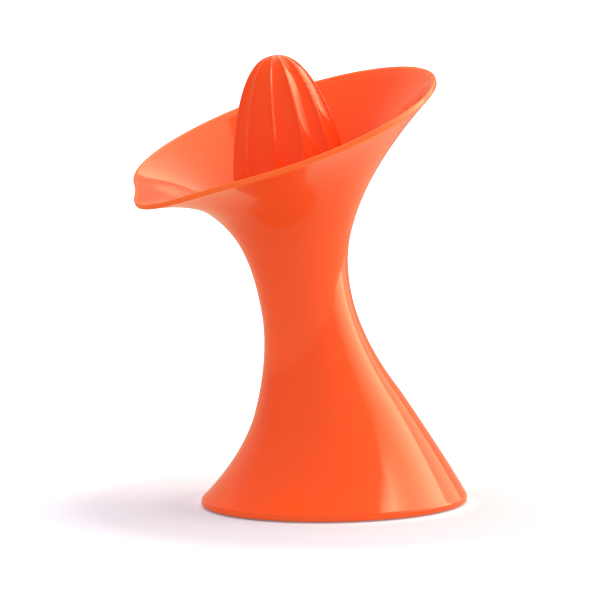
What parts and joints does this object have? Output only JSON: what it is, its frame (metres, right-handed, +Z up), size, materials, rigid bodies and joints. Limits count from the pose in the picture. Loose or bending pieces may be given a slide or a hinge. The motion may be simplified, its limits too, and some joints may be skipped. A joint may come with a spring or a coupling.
{
  "type": "hand juicer",
  "caption": "Leaning hourglass hand juicer with a slanted, lipped bowl, a waist for a grip, a fluted reamer on a lift-out strainer and a flared foot.",
  "frame": {"origin": "centre of the foot, on the table it stands on", "axes": "+Z up; the pouring lip points along -X; +Y is to the left of someone who looks along +X"},
  "size_m": [0.1965, 0.1616, 0.2311],
  "materials": {
    "body": "polished orange moulding",
    "strainer": "polished orange moulding",
    "gasket": "soft translucent white",
    "reamer": "polished red-orange moulding",
    "base": "fine spark-eroded orange",
    "pad": "matt black non-slip"
  },
  "bodies": {
    "body": {"body_shell": "body", "base_plate": "base", "foot_pad": "pad"},
    "strainer": {"strainer": "strainer", "strainer_gasket": "gasket"},
    "reamer": {"reamer": "reamer"}
  },
  "joints": [
    {"name": "strainer_lift", "type": "slide", "parent": "body", "child": "strainer", "axis": [-0.1805, 0, 0.9836], "range_m": [0, 0.12]},
    {"name": "reamer_lift", "type": "slide", "parent": "strainer", "child": "reamer", "axis": [-0.1805, 0, 0.9836], "range_m": [0, 0.09]}
  ]
}
